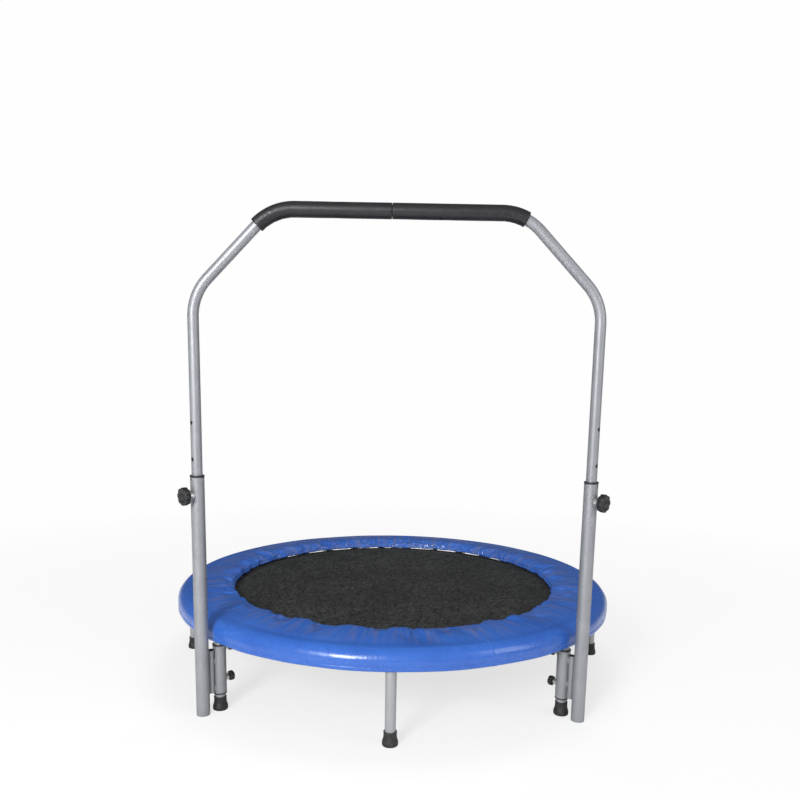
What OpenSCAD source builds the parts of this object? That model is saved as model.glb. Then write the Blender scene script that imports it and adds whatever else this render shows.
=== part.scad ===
// Mini trampoline with a height-adjustable handlebar.
// Millimetres, +Z up. The origin is on the floor under the middle of the mat,
// and the handlebar stands on the -Y side.

/* [Frame] */
// Radius of the round frame, to the middle of its tube
frame_r = 498; // [488:1:508]
// Diameter of the frame tube
frame_tube_d = 25; // [24:0.5:26]
// Height of the middle of the frame tube
frame_z = 168; // [162:1:172]
// Wall of every steel tube
tube_wall = 1.5; // [1.2:0.1:1.6]

/* [Legs] */
// Diameter of a leg tube
leg_d = 21; // [20:0.5:22]
// Height of a leg's top end
leg_top = 150; // [147:1:151]
// Height of a rubber foot
foot_h = 28.5; // [26:0.5:30]
// Diameter of the foot where it meets the floor
foot_d = 30.6; // [29:0.2:33]

/* [Mat and springs] */
// Radius of the jumping mat with its hem
mat_r = 403; // [395:1:405]
// Height of the mat's upper face
mat_z = 171; // [170:0.5:172]
// Number of springs, spread so that none is above a leg
spring_count = 32; // [16:8:32]
// Outer diameter of a spring's coils
spring_d = 13; // [10:0.5:13]

/* [Safety pad] */
// Radius of the pad's skirt
pad_r = 515; // [514:1:518]
// Radius of the pad's gathered inner edge
pad_inner_r = 384.5; // [370:0.5:386]
// Height of the pad's upper face
pad_top = 191; // [190:0.5:195]
// Height of the skirt's lower edge
pad_hem_z = 150; // [148:1:155]
// Height of the gathered inner edge
pad_edge_h = 14; // [10:0.5:15]

/* [Handlebar posts] */
// Diameter of the leg clamp sleeves and of the posts
post_d = 27; // [26.6:0.2:28]
// Diameter of the short tube welded between sleeve and post
link_d = 13; // [10:1:16]
// Height of a post, without its bush
post_h = 486; // [470:1:500]
// Lower and upper end of the clamp sleeve
sleeve_z = [38, 138];
// Lower and upper end of the link tube
link_z = [41, 131];

/* [Handlebar] */
// Diameter of the bar tube
bar_d = 21; // [20:0.5:21.5]
// Height of the middle of the top bar
bar_z = 982; // [950:0.5:1050]
// Half of the length between the upper corners
bar_corner_x = 231.5; // [200:0.5:260]
// Slope of the corner stretch
bar_slant = 46; // [40:1:50]
// Bend radius, to the middle of the tube
bar_bend_r = 100; // [80:5:110]
// Height of the bar's lower ends, inside the posts
bar_low = 291; // [285:1:300]
// Spacing of the adjustment holes
hole_step = 70; // [60:1:70]
// Outer diameter of a foam grip
grip_d = 29; // [27:0.5:33]
// Where the two foam grips meet, from the middle of the bar
grip_split_x = -12; // [-20:1:20]

/* [Knobs] */
// Height of the two height knobs
height_knob_z = 451; // [440:1:460]
// Diameter of a height knob
height_knob_d = 35; // [30:1:38]
// Heights of the clamp knobs on each sleeve
clamp_knob_z = [65, 131];
// Diameter of a clamp knob
clamp_knob_d = 20; // [16:1:24]

/* [Hidden] */
$fn = 64;
LEGS = ["front", "front_right", "right", "rear_right", "rear", "rear_left", "left", "front_left"];
SIDES = ["left", "right"];
LEVELS = ["lower", "upper"];

paint = [0.66, 0.68, 0.71];
light_metal = [0.80, 0.81, 0.82];
black_plastic = [0.05, 0.05, 0.055];
royal_blue = [0.10, 0.22, 0.62];

// Gap between pieces that move on each other
play = 0.3;
// Gap between pieces that are pushed together
snug = 0.05;
leg_step = 360 / len(LEGS);
leg_floor = 3;
boss_h = frame_z - frame_tube_d / 2 - leg_top + 4;
stud_d = 10;
stud_h = 24;
insert_h = 14;
spring_step = 360 / spring_count;
wire_d = 2.4;
hook_hole_d = 4.4;
spring_in = mat_r + 16;
spring_out = frame_r - frame_tube_d / 2 - 18;
mat_t = 1.4;
hem_t = 1.4;
hem_w = 24;
ring_r = 10;
ring_wire_d = 3;
skin = 2.5;
pad_corner_r = 8;
pad_roll_r = 3.5;
// Middle of the roll at the foot of the pad's inner edge
pad_roll = [pad_inner_r + pad_roll_r, pad_top - pad_edge_h + pad_roll_r];
foam_t = pad_top - skin - snug - frame_z - frame_tube_d / 2 - play;
post_rad = frame_r + post_d + link_d;
post_x = post_rad * cos(45);
link_rad = frame_r + (post_d + link_d) / 2;
sleeve_in = frame_r - post_d / 2;
collar_h = 3;
bush_h = 4;
bush_depth = 30;
knob_stud_d = 7.8;
clamp_stud_d = 6;
height_knob_h = 11.5;
clamp_knob_h = 8;
// Space between a knob and the tube behind it
height_knob_gap = 9.5;
clamp_knob_gap = 9;
// Thickness of a knob's face over the end of its stud
knob_face = 3;
clamp_nut_h = 5;
height_nut_h = 5;
peg_z = post_h - 4;
hole_z = [for (i = [-2 : 2]) height_knob_z + i * hole_step];
slant_low = bar_z - tan(bar_slant) * (post_x - bar_corner_x);
low_reach = bar_bend_r * tan((90 - bar_slant) / 2);
top_reach = bar_bend_r * tan(bar_slant / 2);
slant_len = (post_x - bar_corner_x) / cos(bar_slant) - low_reach - top_reach;
top_x = bar_corner_x - top_reach;
thinning = 0.05;
lap = 1;
// How far each foam grip reaches round its bend, in degrees
grip_turn = [bar_slant - 1, 27.5];

// Solid tube outline with a bore
module pipe(d, wall, h) {
    difference() {
        cylinder(d = d, h = h);
        translate([0, 0, -1]) cylinder(d = d - 2 * wall, h = h + 2);
    }
}

// Round ring about the Z axis
module torus(r, wire_r) {
    rotate_extrude($fn = 128) translate([r, 0]) circle(r = wire_r);
}

// Moves its children to a leg, where +X points outwards
module at_leg(i) {
    rotate([0, 0, -90 + i * leg_step]) translate([frame_r, 0, 0]) children();
}

// Turns its children to one handlebar bracket, where +X points outwards
module at_bracket(side) {
    rotate([0, 0, side == "left" ? 225 : 315]) children();
}

// ---- frame and legs ----

module frame_ring() {
    color(paint) difference() {
        translate([0, 0, frame_z]) torus(frame_r, frame_tube_d / 2);
        translate([0, 0, frame_z]) torus(frame_r, frame_tube_d / 2 - tube_wall);
        for (i = [0 : spring_count - 1])
            rotate([0, 0, (i + 0.5) * spring_step])
                translate([frame_r - frame_tube_d / 2 - 2, 0, frame_z])
                    rotate([0, 90, 0]) cylinder(d = hook_hole_d, h = 2 + 2 * tube_wall, $fn = 24);
    }
}

module leg_bosses() {
    color(paint) for (i = [0 : len(LEGS) - 1]) {
        difference() {
            at_leg(i) translate([0, 0, leg_top]) cylinder(d = leg_d, h = boss_h);
            translate([0, 0, frame_z]) torus(frame_r, frame_tube_d / 2);
        }
        at_leg(i) translate([0, 0, leg_top - stud_h]) cylinder(d = stud_d, h = stud_h);
    }
}

module leg_inserts() {
    bore_d = leg_d - 2 * tube_wall;
    color(light_metal) for (i = [0 : len(LEGS) - 1])
        at_leg(i) translate([0, 0, leg_top - insert_h])
            pipe(bore_d - 2 * snug, (bore_d - stud_d) / 2 - 2 * snug, insert_h);
}

module leg(i) {
    color(light_metal) at_leg(i) translate([0, 0, leg_floor]) pipe(leg_d, tube_wall, leg_top - leg_floor);
}

module foot(i) {
    flange_r = foot_d / 2;
    cup_r = leg_d / 2 + snug;
    color([0.12, 0.12, 0.13]) at_leg(i) rotate_extrude() polygon([
        [0, 0], [flange_r - 1, 0], [flange_r, 2], [flange_r, 8.5], [flange_r - 1.6, 13.5],
        [cup_r + 1.9, foot_h - 0.8], [cup_r + 1.1, foot_h], [cup_r, foot_h],
        [cup_r, leg_floor], [0, leg_floor]
    ]);
}

// ---- mat and springs ----

module jumping_mat() {
    color([0.13, 0.14, 0.15]) translate([0, 0, mat_z - mat_t])
        cylinder(r = mat_r - 1.5, h = mat_t, $fn = 128);
}

module mat_hem() {
    low = mat_z - mat_t - hem_t;
    color([0.10, 0.10, 0.11]) rotate_extrude($fn = 128) polygon([
        [mat_r - hem_w, low], [mat_r, low], [mat_r, mat_z + hem_t], [mat_r - hem_w, mat_z + hem_t],
        [mat_r - hem_w, mat_z], [mat_r - 1.5, mat_z],
        [mat_r - 1.5, mat_z - mat_t], [mat_r - hem_w, mat_z - mat_t]
    ]);
}

module mat_rings() {
    color(light_metal) for (i = [0 : spring_count - 1])
        rotate([0, 0, (i + 0.5) * spring_step])
            translate([mat_r - 2.5, 0, mat_z - mat_t / 2])
                rotate_extrude($fn = 32) translate([ring_r, 0]) circle(d = ring_wire_d, $fn = 16);
}

module spring() {
    hook_in = mat_r - 2.5 + ring_r + ring_wire_d / 2 + 2 * play;
    hook_out = frame_r - frame_tube_d / 2 + 2;
    rotate([0, 90, 0]) {
        translate([0, 0, hook_in]) cylinder(d = wire_d, h = spring_in - hook_in);
        translate([0, 0, spring_in]) cylinder(d = spring_d, h = spring_out - spring_in);
        translate([0, 0, spring_out]) cylinder(d = wire_d, h = hook_out - spring_out);
    }
}

module springs() {
    color([0.72, 0.73, 0.74]) for (i = [0 : spring_count - 1])
        rotate([0, 0, (i + 0.5) * spring_step]) translate([0, 0, frame_z]) spring();
}

// ---- safety pad ----

// Section of the vinyl cover: skirt, rounded crease, top sheet, inner edge and the roll at its foot
module pad_section() {
    crease = [pad_r - pad_corner_r, pad_top - pad_corner_r];
    translate([pad_r - skin, pad_hem_z]) square([skin, crease[1] - pad_hem_z]);
    translate([pad_inner_r, pad_top - skin]) square([crease[0] - pad_inner_r, skin]);
    translate([pad_inner_r, pad_roll[1]]) square([skin, pad_top - pad_roll[1]]);
    translate(pad_roll) circle(r = pad_roll_r);
    translate(crease) intersection() {
        difference() {
            circle(r = pad_corner_r);
            circle(r = pad_corner_r - skin);
        }
        square(pad_corner_r);
    }
}

module pad_cover() {
    color(royal_blue) rotate_extrude($fn = 128) pad_section();
}

module pad_foam() {
    foam_in = pad_inner_r + 2 * pad_roll_r + 4;
    foam_out = pad_r - pad_corner_r - 1;
    color([0.85, 0.85, 0.80]) translate([0, 0, frame_z + frame_tube_d / 2 + play])
        rotate_extrude($fn = 128) translate([foam_in, 0]) square([foam_out - foam_in, foam_t]);
}

module pad_elastic() {
    color([0.9, 0.9, 0.9]) translate([0, 0, pad_roll[1]]) torus(pad_roll[0], 1.5);
}

// ---- handlebar brackets and posts ----

module clamp_sleeve(side) {
    color(paint) at_bracket(side) difference() {
        translate([frame_r, 0, sleeve_z[0]]) pipe(post_d, tube_wall, sleeve_z[1] - sleeve_z[0]);
        for (z = clamp_knob_z)
            translate([sleeve_in - 1, 0, z]) rotate([0, 90, 0])
                cylinder(d = clamp_stud_d + 2 * play, h = 3 * tube_wall);
    }
}

module sleeve_collars() {
    collar_d = post_d + 0.8;
    color(black_plastic) for (side = SIDES, z = [sleeve_z[0] - collar_h, sleeve_z[1]])
        at_bracket(side) translate([frame_r, 0, z])
            pipe(collar_d, (collar_d - leg_d) / 2 - play, collar_h);
}

module link_tubes() {
    color(paint) for (side = SIDES)
        at_bracket(side) translate([link_rad, 0, link_z[0]])
            pipe(link_d, tube_wall, link_z[1] - link_z[0]);
}

module link_caps() {
    color(black_plastic) for (side = SIDES) at_bracket(side) translate([link_rad, 0, link_z[1]]) {
        cylinder(d = link_d - 0.4, h = 2);
        translate([0, 0, -8]) cylinder(d = link_d - 2 * tube_wall - 2 * snug, h = 8);
    }
}

// Short weld bead in the seam between two tubes that touch at x
module weld_bead(x, y, z, len) {
    translate([x, y, z - len / 2]) cylinder(d = 4, h = len, $fn = 24);
    translate([x, y, z - len / 2]) sphere(d = 4, $fn = 24);
    translate([x, y, z + len / 2]) sphere(d = 4, $fn = 24);
}

module bracket_welds() {
    inner_seam = frame_r + post_d / 2;
    outer_seam = inner_seam + link_d;
    bead_y = 3.4;
    color(paint) for (side = SIDES) at_bracket(side) {
        front = side == "left" ? 1 : -1;
        for (z = side == "left" ? [50, 105] : [70, 120])
            weld_bead(inner_seam - 0.4, front * bead_y, z, 8);
        for (z = [52, 118])
            weld_bead(outer_seam + 0.4, -front * bead_y, z, 10);
    }
}

module clamp_nuts() {
    color(light_metal) for (side = SIDES, z = clamp_knob_z)
        at_bracket(side) difference() {
            translate([sleeve_in - clamp_nut_h, 0, z]) rotate([0, 90, 0])
                cylinder(d = 12, h = clamp_nut_h + 2);
            translate([sleeve_in - clamp_nut_h - 1, 0, z]) rotate([0, 90, 0])
                cylinder(d = clamp_stud_d + 0.16, h = clamp_nut_h + 5);
            translate([frame_r, 0, z - 10]) cylinder(d = post_d, h = 20);
        }
}

module height_nuts() {
    color(light_metal) for (side = SIDES)
        at_bracket(side) difference() {
            translate([post_rad + post_d / 2 - 2, 0, height_knob_z]) rotate([0, 90, 0])
                cylinder(d = 17, h = height_nut_h + 2);
            translate([post_rad, 0, height_knob_z]) rotate([0, 90, 0])
                cylinder(d = knob_stud_d + 0.16, h = post_d);
            translate([post_rad, 0, height_knob_z - 15]) cylinder(d = post_d, h = 30);
        }
}

module post(side) {
    color(paint) at_bracket(side) difference() {
        translate([post_rad, 0, 0]) pipe(post_d, tube_wall, post_h);
        translate([post_rad, 0, height_knob_z]) rotate([0, 90, 0])
            cylinder(d = knob_stud_d + 2 * play, h = post_d);
        translate([post_rad, 0, peg_z]) rotate([0, 90, 0]) cylinder(d = 5, h = post_d, $fn = 32);
    }
}

module post_bush(side) {
    bore_d = bar_d + 2 * play;
    neck_d = post_d - 2 * tube_wall - 2 * snug;
    color(black_plastic) at_bracket(side) translate([post_rad, 0, 0]) {
        difference() {
            union() {
                translate([0, 0, post_h]) cylinder(d = post_d + 0.8, h = bush_h);
                translate([0, 0, post_h - bush_depth]) cylinder(d = neck_d, h = bush_depth);
                translate([0, 0, peg_z]) rotate([0, 90, 0])
                    cylinder(d = 4.8, h = post_d / 2 - play, $fn = 32);
            }
            translate([0, 0, post_h - bush_depth - 1]) cylinder(d = bore_d, h = bush_depth + bush_h + 2);
            translate([0, 0, height_knob_z]) rotate([0, 90, 0])
                cylinder(d = knob_stud_d + 2 * play, h = post_d);
        }
    }
}

module post_plugs() {
    plug_d = post_d - 2 * tube_wall - 2 * snug;
    color(black_plastic) for (side = SIDES)
        at_bracket(side) translate([post_rad, 0, 0]) difference() {
            cylinder(d = plug_d, h = 18);
            translate([0, 0, 2.5]) cylinder(d = plug_d - 4, h = 17);
        }
}

// ---- handlebar ----

// Bent tube in the XZ plane about the origin, from angle start to start + turn above the X axis.
// Its wall is thinned a little on both faces, as a drawn bend's is,
// and the straight tubes lap over its ends.
module bend(d, wall, start, turn) {
    rotate([90, 0, 0]) rotate([0, 0, start]) rotate_extrude(angle = turn)
        translate([bar_bend_r, 0]) difference() {
            circle(d = d - 2 * thinning);
            circle(d = d - 2 * wall + 2 * thinning);
        }
}

// Right half of the bar in the XZ plane, from its lower end to the middle at x = 0
module bar_route() {
    turn = 90 - bar_slant;
    low_bend = [post_x - bar_bend_r, 0, slant_low - low_reach];
    translate([post_x, 0, bar_low]) pipe(bar_d, tube_wall, low_bend[2] - bar_low + lap);
    translate(low_bend) {
        bend(bar_d, tube_wall, 0, turn);
        rotate([0, -turn, 0]) translate([bar_bend_r, 0, -lap])
            pipe(bar_d, tube_wall, slant_len + 2 * lap);
    }
    translate([top_x, 0, bar_z - bar_bend_r]) bend(bar_d, tube_wall, turn, bar_slant);
    translate([0, 0, bar_z]) rotate([0, 90, 0]) pipe(bar_d, tube_wall, top_x + lap);
}

// Puts the right half's drawing on its side and over the posts
module on_bar(side) {
    translate([0, -post_x, 0]) mirror([side == "left" ? 1 : 0, 0, 0]) children();
}

module bar_half(side) {
    color(paint) difference() {
        on_bar(side) bar_route();
        for (z = hole_z)
            at_bracket(side) translate([post_rad, 0, z]) rotate([0, 90, 0])
                cylinder(d = knob_stud_d + 2 * play, h = bar_d);
    }
}

module bar_joiner() {
    color(light_metal) translate([-60, -post_x, bar_z]) rotate([0, 90, 0])
        pipe(bar_d - 2 * tube_wall - 2 * snug, 1.5, 120);
}

module foam_grip(side) {
    turn = grip_turn[side == "left" ? 0 : 1];
    foam_wall = (grip_d - bar_d) / 2 - snug;
    start_x = play + (side == "left" ? -grip_split_x : grip_split_x);
    color(black_plastic) on_bar(side) {
        translate([top_x, 0, bar_z - bar_bend_r]) bend(grip_d, foam_wall, 90 - turn, turn);
        translate([start_x, 0, bar_z]) rotate([0, 90, 0])
            pipe(grip_d, foam_wall, top_x - start_x + lap);
    }
}

// ---- knobs ----

// Lobed knob about the X axis, from x = 0 outwards, with a bore for its stud
module knob(d, h, lobes, bore_d) {
    rotate([0, 90, 0]) difference() {
        cylinder(d = d, h = h);
        for (i = [0 : lobes - 1])
            rotate([0, 0, (i + 0.5) * 360 / lobes]) translate([d * 0.6, 0, -1])
                cylinder(d = d * 0.3, h = h + 2, $fn = 32);
        translate([0, 0, -1]) cylinder(d = bore_d, h = h - knob_face + 1);
    }
}

module height_stud(side) {
    tip = post_rad + bar_d / 2 + play;
    head = post_rad + post_d / 2 + height_knob_gap + height_knob_h - knob_face - play;
    color(light_metal) at_bracket(side) translate([tip, 0, height_knob_z])
        rotate([0, 90, 0]) cylinder(d = knob_stud_d, h = head - tip);
}

module height_knob(side) {
    color(black_plastic) at_bracket(side)
        translate([post_rad + post_d / 2 + height_knob_gap, 0, height_knob_z])
            knob(height_knob_d, height_knob_h, 8, knob_stud_d + 2 * snug);
}

module clamp_stud(side, level) {
    tip = frame_r - leg_d / 2 - play;
    head = sleeve_in - clamp_knob_gap - clamp_knob_h + knob_face + play;
    color(light_metal) at_bracket(side) translate([head, 0, clamp_knob_z[level]])
        rotate([0, 90, 0]) cylinder(d = clamp_stud_d, h = tip - head);
}

module clamp_knob(side, level) {
    color(black_plastic) at_bracket(side) translate([sleeve_in - clamp_knob_gap, 0, clamp_knob_z[level]])
        mirror([1, 0, 0]) knob(clamp_knob_d, clamp_knob_h, 5, clamp_stud_d + 2 * snug);
}

frame_ring();
leg_bosses();
leg_inserts();
for (i = [0 : len(LEGS) - 1]) {
    leg(i);
    foot(i);
}
jumping_mat();
mat_hem();
mat_rings();
springs();
pad_cover();
pad_foam();
pad_elastic();
sleeve_collars();
link_tubes();
link_caps();
bracket_welds();
clamp_nuts();
height_nuts();
post_plugs();
bar_joiner();
for (side = SIDES) {
    clamp_sleeve(side);
    post(side);
    post_bush(side);
    bar_half(side);
    foam_grip(side);
    height_stud(side);
    height_knob(side);
    for (level = [0, 1]) {
        clamp_stud(side, level);
        clamp_knob(side, level);
    }
}
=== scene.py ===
import math

import bmesh
import bpy
import numpy as np
from mathutils import Matrix, Vector


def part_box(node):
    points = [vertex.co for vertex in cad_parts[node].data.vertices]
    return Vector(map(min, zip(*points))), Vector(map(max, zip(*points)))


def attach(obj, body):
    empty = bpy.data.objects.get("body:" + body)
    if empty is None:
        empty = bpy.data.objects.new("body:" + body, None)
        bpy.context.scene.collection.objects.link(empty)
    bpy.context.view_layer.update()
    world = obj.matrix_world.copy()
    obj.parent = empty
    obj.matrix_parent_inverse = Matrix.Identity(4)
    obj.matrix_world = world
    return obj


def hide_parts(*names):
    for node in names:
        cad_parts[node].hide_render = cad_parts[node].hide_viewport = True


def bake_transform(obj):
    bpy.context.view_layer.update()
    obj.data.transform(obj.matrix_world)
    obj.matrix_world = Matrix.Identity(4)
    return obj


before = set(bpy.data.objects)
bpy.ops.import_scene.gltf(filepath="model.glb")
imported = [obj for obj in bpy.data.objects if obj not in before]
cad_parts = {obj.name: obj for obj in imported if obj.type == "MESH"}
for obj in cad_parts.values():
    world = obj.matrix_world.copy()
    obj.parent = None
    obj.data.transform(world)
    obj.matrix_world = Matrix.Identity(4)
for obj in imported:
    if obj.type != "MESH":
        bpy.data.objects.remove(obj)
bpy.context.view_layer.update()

TAU = 2 * math.pi
SIDES = {"left": math.radians(225), "right": math.radians(315)}
LEGS = ["front", "front_right", "right", "rear_right", "rear", "rear_left", "left", "front_left"]


# ---- places taken from the CAD frame ----

def middle(node):
    low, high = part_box(node)
    return (low + high) / 2


def around(count):
    """Azimuths of count even steps in a turn."""
    return np.arange(count) * TAU / count


def apart(azimuth, other):
    """The angle from other to azimuth, from -pi to pi."""
    return (azimuth - other + math.pi) % TAU - math.pi


pad_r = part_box("pad_cover")[1].x
hem_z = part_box("pad_cover")[0].z
foam_low, foam_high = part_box("pad_foam")
foam_top = foam_high.z
pad_top = foam_top + 0.00255
elastic_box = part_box("pad_elastic")
roll_z = (elastic_box[0].z + elastic_box[1].z) / 2
roll_r = elastic_box[1].x - 0.0015
mat_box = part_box("jumping_mat")
hem_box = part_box("mat_hem")
frame_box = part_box("frame_ring")
frame_z = (frame_box[0].z + frame_box[1].z) / 2
frame_tube_r = (frame_box[1].z - frame_box[0].z) / 2
frame_r = frame_box[1].x - frame_tube_r
SPRINGS = 32
spring_azimuths = (np.arange(SPRINGS) + 0.5) * TAU / SPRINGS


# ---- materials ----

class Surface:
    """A Principled material made of noise, waves and bumps in object space."""

    def __init__(self, name, **sockets):
        self.material = bpy.data.materials.new(name)
        self.material.use_nodes = True
        self.tree = self.material.node_tree
        self.shader = self.tree.nodes["Principled BSDF"]
        self.place = self.add("TexCoord").outputs["Object"]
        self.normal = None
        for key, value in sockets.items():
            self.feed(self.shader.inputs[key.replace("_", " ")], value)

    def add(self, kind, inputs=(), **settings):
        """A shader node with these settings, fed with these inputs."""
        node = self.tree.nodes.new("ShaderNode" + kind)
        for key, value in settings.items():
            setattr(node, key, value)
        for key, value in dict(inputs).items():
            self.feed(node.inputs[key], value)
        return node

    def feed(self, socket, value):
        if isinstance(value, bpy.types.NodeSocket):
            self.tree.links.new(value, socket)
        else:
            socket.default_value = value

    def stretched(self, scale):
        if scale is None:
            return self.place
        return self.add("Mapping", {"Vector": self.place, "Scale": scale}).outputs["Vector"]

    def noise(self, scale, detail=3.0, stretch=None, distortion=0.0):
        inputs = {
            "Vector": self.stretched(stretch), "Scale": scale, "Detail": detail, "Distortion": distortion}
        return self.add("TexNoise", inputs).outputs["Fac"]

    def cells(self, scale):
        return self.add("TexVoronoi", {"Vector": self.place, "Scale": scale}).outputs["Distance"]

    def span(self, value, low, high, start=0.3, end=0.7):
        """The value moved from start-end to low-high, and kept there."""
        inputs = {"Value": value, "From Min": start, "From Max": end, "To Min": low, "To Max": high}
        return self.add("MapRange", inputs).outputs["Result"]

    def cloud(self, scale, detail, start=0.3, end=0.7):
        """Noise spread over 0 to 1."""
        return self.span(self.noise(scale, detail), 0.0, 1.0, start, end)

    def sums(self, operation, a, b=0.0):
        return self.add("Math", {0: a, 1: b}, operation=operation).outputs[0]

    def mix(self, share, a, b):
        node = self.add("Mix", data_type="RGBA")
        self.feed(node.inputs[0], share)
        for socket, value in ((node.inputs[6], a), (node.inputs[7], b)):
            self.feed(socket, value if isinstance(value, bpy.types.NodeSocket) else (*value, 1.0))
        return node.outputs[2]

    def parts(self):
        """X and Y in object space."""
        return self.add("SeparateXYZ", {0: self.place}).outputs[:2]

    def length(self, x, y):
        squares = [self.sums("MULTIPLY", value, value) for value in (x, y)]
        return self.sums("POWER", self.sums("ADD", *squares), 0.5)

    def colour(self, share, a, b):
        self.feed(self.shader.inputs["Base Color"], self.mix(share, a, b))

    def rough(self, value):
        self.feed(self.shader.inputs["Roughness"], value)

    def uneven(self, scale, detail, low, high):
        """Roughness that wanders between low and high."""
        self.rough(self.span(self.noise(scale, detail), low, high))

    def bump(self, height, strength, distance):
        node = self.add("Bump", {"Strength": strength, "Distance": distance, "Height": height})
        if self.normal is not None:
            self.feed(node.inputs["Normal"], self.normal)
        self.normal = node.outputs["Normal"]
        self.feed(self.shader.inputs["Normal"], self.normal)


def painted_metal(name, dark, light, metal, rough):
    s = Surface(name, Metallic=metal)
    cloud = s.cloud(28, 4)
    speck = s.cloud(2600, 1, 0.35, 0.75)
    base = s.mix(cloud, dark, light)
    flake = s.mix(speck, [c * 0.93 for c in dark], [min(1.0, c * 1.07) for c in light])
    s.colour(0.35, base, flake)
    s.uneven(170, 3, rough - 0.05, rough + 0.07)
    s.bump(s.noise(620, 2), 0.03, 0.0005)
    s.bump(s.noise(2600, 1), 0.02, 0.0002)
    return s.material


def zinc(name):
    s = Surface(name, Metallic=1.0)
    spangle = s.span(s.cells(260), 0.0, 1.0, 0.0, 0.9)
    dull = s.cloud(90, 4)
    s.colour(dull, (0.52, 0.52, 0.50), (0.70, 0.70, 0.68))
    s.rough(s.sums("ADD", s.span(dull, 0.40, 0.26, 0, 1), s.span(spangle, 0.0, 0.06, 0, 1)))
    s.bump(s.noise(1500, 2), 0.08, 0.0002)
    return s.material


def rubber(name):
    s = Surface(name)
    dust = s.cloud(70, 5, 0.42, 0.7)
    s.colour(dust, (0.012, 0.012, 0.013), (0.028, 0.028, 0.028))
    s.uneven(240, 3, 0.52, 0.72)
    s.bump(s.noise(1100, 3), 0.22, 0.0004)
    return s.material


def plastic(name):
    s = Surface(name)
    worn = s.cloud(120, 4)
    s.colour(worn, (0.009, 0.009, 0.010), (0.016, 0.016, 0.017))
    s.uneven(200, 3, 0.30, 0.44)
    s.bump(s.cells(1500), 0.12, 0.0003)
    return s.material


def foam_skin(name):
    s = Surface(name, Specular_IOR_Level=0.45)
    worn = s.cloud(40, 5)
    s.colour(worn, (0.007, 0.007, 0.0085), (0.012, 0.012, 0.014))
    s.uneven(160, 4, 0.36, 0.50)
    s.bump(s.noise(150, 3), 0.16, 0.0014)
    s.bump(s.cells(950), 0.28, 0.0004)
    return s.material


def closed_cell(name):
    s = Surface(name)
    cloud = s.cloud(14, 5)
    s.colour(cloud, (0.52, 0.52, 0.50), (0.68, 0.68, 0.66))
    s.uneven(90, 3, 0.72, 0.88)
    s.bump(s.cells(520), 0.5, 0.0007)
    s.bump(s.noise(45, 3), 0.25, 0.002)
    return s.material


def vinyl(name):
    """Glossy coated cloth, with a painted sheen (a grey reflection painted into the colour) in streaks along
    its gathers.
    """
    s = Surface(name, Coat_Weight=0.30, Coat_Roughness=0.16, Specular_IOR_Level=0.45)
    x, y = s.parts()
    radius = s.length(x, y)
    place = s.add("CombineXYZ")
    streaks_round, streaks_out = 34.0, 9.0
    for socket, value, scale in zip(
            place.inputs, (s.sums("DIVIDE", x, radius), s.sums("DIVIDE", y, radius), radius),
            (streaks_round, streaks_round, streaks_out), strict=True):
        s.feed(socket, s.sums("MULTIPLY", value, scale))
    streaks = s.add("TexNoise", {"Vector": place.outputs[0], "Scale": 1.0, "Detail": 4.0, "Distortion": 0.5})
    # Painted sheen: in radial streaks over the top sheet, fading out between these radii, the blue is
    # painted towards grey to stand in for a reflection. The same streaks also raise the roughness.
    fade_start, fade_end = 0.440, 0.486
    painted_sheen = s.sums(
        "MULTIPLY", s.span(streaks.outputs["Fac"], 0.0, 0.60, 0.45, 0.70),
        s.span(radius, 1.0, 0.0, fade_start, fade_end))
    blue = s.mix(s.cloud(9, 4), (0.018, 0.088, 0.385), (0.028, 0.116, 0.455))
    s.colour(painted_sheen, blue, (0.115, 0.125, 0.23))
    s.rough(s.sums("ADD", s.span(s.noise(60, 4), 0.22, 0.32), s.sums("MULTIPLY", painted_sheen, 0.35)))
    s.bump(streaks.outputs["Fac"], 0.25, 0.0040)
    s.bump(s.noise(38, 2, distortion=0.6), 0.20, 0.0020)
    s.bump(s.noise(120, 3), 0.12, 0.0009)
    s.bump(s.cells(1250), 0.05, 0.0002)
    return s.material


def thread(name, dark, light):
    s = Surface(name)
    s.colour(s.cloud(900, 2), dark, light)
    s.uneven(400, 2, 0.42, 0.6)
    s.bump(s.noise(2500, 1, stretch=(1, 1, 3)), 0.3, 0.0003)
    return s.material


def woven(name):
    """Flat yarns crossing at right angles, scuffed a little where feet land."""
    s = Surface(name, Specular_IOR_Level=0.16)
    pitch = 0.0021
    across, along = (s.sums("SINE", s.sums("MULTIPLY", way, TAU / pitch)) for way in s.parts())
    height = s.span(s.sums("MULTIPLY", across, along), 0.0, 1.0, -1, 1)
    scuff = s.cloud(7, 5, 0.35, 0.7)
    fleck = s.cloud(190, 5, 0.38, 0.64)
    yarn = s.mix(height, (0.0065, 0.0072, 0.0067), (0.018, 0.0195, 0.0180))
    dusty = s.mix(fleck, (0.007, 0.0075, 0.0072), (0.096, 0.0995, 0.0955))
    s.colour(s.span(scuff, 0.35, 0.6, 0, 1), yarn, dusty)
    s.uneven(300, 2, 0.66, 0.82)
    s.bump(height, 0.55, 0.0006)
    s.bump(fleck, 0.2, 0.0005)
    return s.material


def webbing(name):
    """Ribbed tape that runs round the mat's edge."""
    s = Surface(name)
    x, y = s.parts()
    ribs_in_turn, row_pitch = 1500.0, 0.0024
    ribs = s.sums("SINE", s.sums("MULTIPLY", s.sums("ARCTAN2", y, x), ribs_in_turn))
    lines = s.sums("SINE", s.sums("MULTIPLY", s.length(x, y), TAU / row_pitch))
    height = s.span(s.sums("MULTIPLY", ribs, lines), 0.0, 1.0, -1, 1)
    s.colour(height, (0.008, 0.008, 0.009), (0.024, 0.024, 0.026))
    s.uneven(300, 2, 0.55, 0.7)
    s.bump(height, 0.5, 0.0005)
    return s.material


def braid(name):
    s = Surface(name)
    s.colour(s.cloud(700, 2), (0.55, 0.55, 0.53), (0.78, 0.78, 0.76))
    s.uneven(300, 2, 0.6, 0.8)
    s.bump(s.cells(900), 0.4, 0.0004)
    return s.material


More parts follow.
